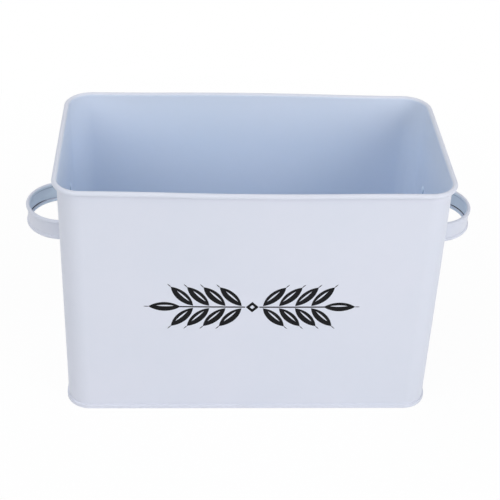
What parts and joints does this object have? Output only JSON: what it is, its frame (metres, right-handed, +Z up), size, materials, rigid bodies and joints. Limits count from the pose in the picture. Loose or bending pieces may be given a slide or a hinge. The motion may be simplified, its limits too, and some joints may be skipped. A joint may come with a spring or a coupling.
{
  "type": "bread box",
  "caption": "Open-topped rectangular sheet-steel bread bin with rounded corners, a wired curled rim, a seamed base and a riveted strap handle on each end.",
  "frame": {"origin": "on the floor under the middle of the bin", "axes": "+X to the right end as seen from the front, +Y to the back, +Z up"},
  "size_m": [0.389, 0.1778, 0.227],
  "materials": {
    "painted_steel": "satin powder coat, pale bluish white",
    "steel_wire": "bare drawn wire, hidden inside the rim"
  },
  "bodies": {
    "root": {"body_wall": "painted_steel", "base_panel": "painted_steel", "rim_wire": "steel_wire", "left_handle": "painted_steel", "right_handle": "painted_steel", "left_front_rivet": "painted_steel", "left_rear_rivet": "painted_steel", "right_front_rivet": "painted_steel", "right_rear_rivet": "painted_steel"}
  },
  "joints": []
}
